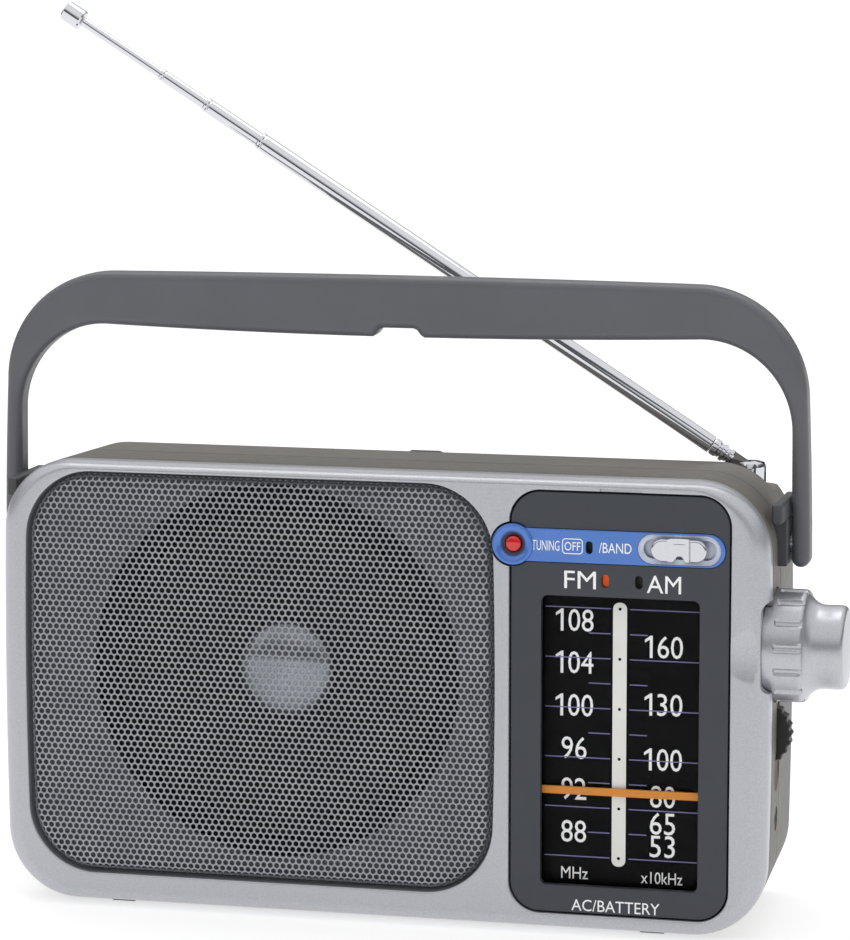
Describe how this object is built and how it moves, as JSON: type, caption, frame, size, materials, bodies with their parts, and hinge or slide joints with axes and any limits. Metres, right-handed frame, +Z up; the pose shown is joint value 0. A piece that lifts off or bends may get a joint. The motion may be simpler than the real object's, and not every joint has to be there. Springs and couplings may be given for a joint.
{
  "type": "portable table radio",
  "caption": "Two-band portable radio with a round-cornered cabinet, perforated speaker grille, slide-rule dial, side tuning knob, swinging bail handle and telescopic rod antenna.",
  "frame": {"origin": "on the table under the middle of the whole radio, handle, knob and antenna included", "axes": "+Z up, the dial and grille face -Y, +X towards the tuning knob on the listener's right"},
  "size_m": [0.2344, 0.065, 0.2417],
  "materials": {
    "silver_plastic": "satin silver paint on moulded plastic",
    "grey_plastic": "fine grained warm grey moulded plastic",
    "grille_metal": "perforated sheet with a satin silver grey coat",
    "panel_plastic": "satin slate grey",
    "blue_trim": "metallic blue foil under clear lacquer",
    "lamp_lens": "clear red",
    "orange_plastic": "plain orange",
    "dial_print": "black with printed scales",
    "clear_window": "clear polished acrylic",
    "handle_plastic": "satin dark grey",
    "black_plastic": "satin black",
    "chrome_metal": "polished chrome plate",
    "steel": "zinc plated",
    "rubber_black": "matt",
    "cone_paper": "pressed black paper",
    "ferrite": "dull sintered ferrite",
    "copper_wire": "enamelled copper wire",
    "board": "brown laminate with parts soldered on",
    "white_plastic": "natural white nylon",
    "battery_sleeve": "printed sleeve without lettering"
  },
  "bodies": {
    "cabinet": {"front_bezel": "silver_plastic", "front_cabinet": "grey_plastic", "rear_cabinet": "grey_plastic", "speaker_baffle": "grey_plastic", "foot_front_left": "rubber_black", "foot_front_right": "rubber_black", "foot_rear_left": "rubber_black", "foot_rear_right": "rubber_black", "speaker_surround": "rubber_black", "case_screw_1": "steel", "case_screw_2": "steel", "case_screw_3": "steel", "case_screw_4": "steel", "speaker_frame": "steel", "speaker_magnet": "steel", "volume_pot": "steel", "power_transformer": "steel", "battery_spring_contact": "steel", "battery_flat_contact": "steel", "handle_pin_left": "steel", "handle_pin_right": "steel", "speaker_grille": "grille_metal", "speaker_cone": "cone_paper", "dial_panel": "panel_plastic", "control_strip": "blue_trim", "tuning_lamp": "lamp_lens", "dial_window": "clear_window", "dial_plate": "dial_print", "band_switch": "black_plastic", "earphone_jack": "black_plastic", "mains_inlet": "black_plastic", "handle_boss_left": "black_plastic", "handle_boss_right": "black_plastic", "antenna_clip": "black_plastic", "tuning_capacitor": "white_plastic", "circuit_board": "board", "ferrite_rod": "ferrite", "ferrite_coil": "copper_wire", "battery_cell_1": "battery_sleeve", "battery_cell_2": "battery_sleeve", "battery_cell_3": "battery_sleeve", "battery_cell_4": "battery_sleeve"},
    "handle_bail": {"handle": "handle_plastic"},
    "antenna_base": {"antenna_turret": "chrome_metal"},
    "antenna_mast": {"antenna_knuckle": "chrome_metal", "antenna_section_outer": "chrome_metal"},
    "antenna_third": {"antenna_section_third": "chrome_metal"},
    "antenna_second": {"antenna_section_second": "chrome_metal"},
    "antenna_inner": {"antenna_section_inner": "chrome_metal", "antenna_tip": "chrome_metal"},
    "tuning_control": {"tuning_knob": "silver_plastic", "tuning_shaft": "steel"},
    "cord_drum": {"tuning_drum": "white_plastic"},
    "upper_pulley": {"pulley_top": "white_plastic"},
    "lower_pulley": {"pulley_bottom": "white_plastic"},
    "pointer": {"dial_pointer": "orange_plastic"},
    "volume_control": {"volume_wheel": "black_plastic"},
    "band_selector": {"band_slider": "chrome_metal", "band_flag": "orange_plastic"},
    "battery_door": {"battery_cover": "grey_plastic"}
  },
  "joints": [
    {"name": "handle_swing", "type": "hinge", "parent": "cabinet", "child": "handle_bail", "pos_m": [-0.00605, -0.0045, 0.1029], "axis": [1, 0, 0], "range_deg": [-10, 90]},
    {"name": "antenna_swivel", "type": "hinge", "parent": "cabinet", "child": "antenna_base", "pos_m": [0.08485, 0.0215, 0.1172], "axis": [0, 0, -1], "range_deg": [0, 180]},
    {"name": "antenna_tilt", "type": "hinge", "parent": "antenna_base", "child": "antenna_mast", "pos_m": [0.08485, 0.0215, 0.1172], "axis": [0, 1, 0], "range_deg": [-32.4, 57.6]},
    {"name": "antenna_extend_third", "type": "slide", "parent": "antenna_mast", "child": "antenna_third", "axis": [-0.8443, 0, 0.5358], "range_m": [-0.0177, 0.113]},
    {"name": "antenna_extend_second", "type": "slide", "parent": "antenna_third", "child": "antenna_second", "axis": [-0.8443, 0, 0.5358], "range_m": [-0.0146, 0.1107]},
    {"name": "antenna_extend_inner", "type": "slide", "parent": "antenna_second", "child": "antenna_inner", "axis": [-0.8443, 0, 0.5358], "range_m": [-0.026, 0.0968]},
    {"name": "tuning_turn", "type": "hinge", "parent": "cabinet", "child": "tuning_control", "pos_m": [0.09835, -0.015, 0.0772], "axis": [1, 0, 0], "range_deg": [-316, 944]},
    {"name": "drum_turn", "type": "hinge", "parent": "cabinet", "child": "cord_drum", "pos_m": [0.07545, 0.0065, 0.045], "axis": [1, 0, 0], "range_deg": [-45.5, 135]},
    {"name": "upper_pulley_turn", "type": "hinge", "parent": "cabinet", "child": "upper_pulley", "pos_m": [0.07545, -0.0195, 0.095], "axis": [1, 0, 0], "range_deg": [-316, 944]},
    {"name": "lower_pulley_turn", "type": "hinge", "parent": "cabinet", "child": "lower_pulley", "pos_m": [0.07545, -0.0195, 0.013], "axis": [1, 0, 0], "range_deg": [-316, 944]},
    {"name": "pointer_travel", "type": "slide", "parent": "cabinet", "child": "pointer", "axis": [0, 0, 1], "range_m": [-0.0165, 0.0493]},
    {"name": "volume_turn", "type": "hinge", "parent": "cabinet", "child": "volume_control", "pos_m": [0.09215, -0.0095, 0.0526], "axis": [0, 1, 0], "range_deg": [-150, 150]},
    {"name": "band_slide", "type": "slide", "parent": "cabinet", "child": "band_selector", "axis": [1, 0, 0], "range_m": [-0.003, 0.003]},
    {"name": "battery_door_hinge", "type": "hinge", "parent": "cabinet", "child": "battery_door", "pos_m": [-0.04305, 0.0325, 0.0096], "axis": [-1, 0, 0], "range_deg": [0, 90]}
  ],
  "couplings": [
    {"joint": "tuning_turn", "follows": "pointer_travel", "rad_per_m": 333.33},
    {"joint": "drum_turn", "follows": "pointer_travel", "rad_per_m": 47.619},
    {"joint": "upper_pulley_turn", "follows": "pointer_travel", "rad_per_m": 333.33},
    {"joint": "lower_pulley_turn", "follows": "pointer_travel", "rad_per_m": 333.33}
  ]
}
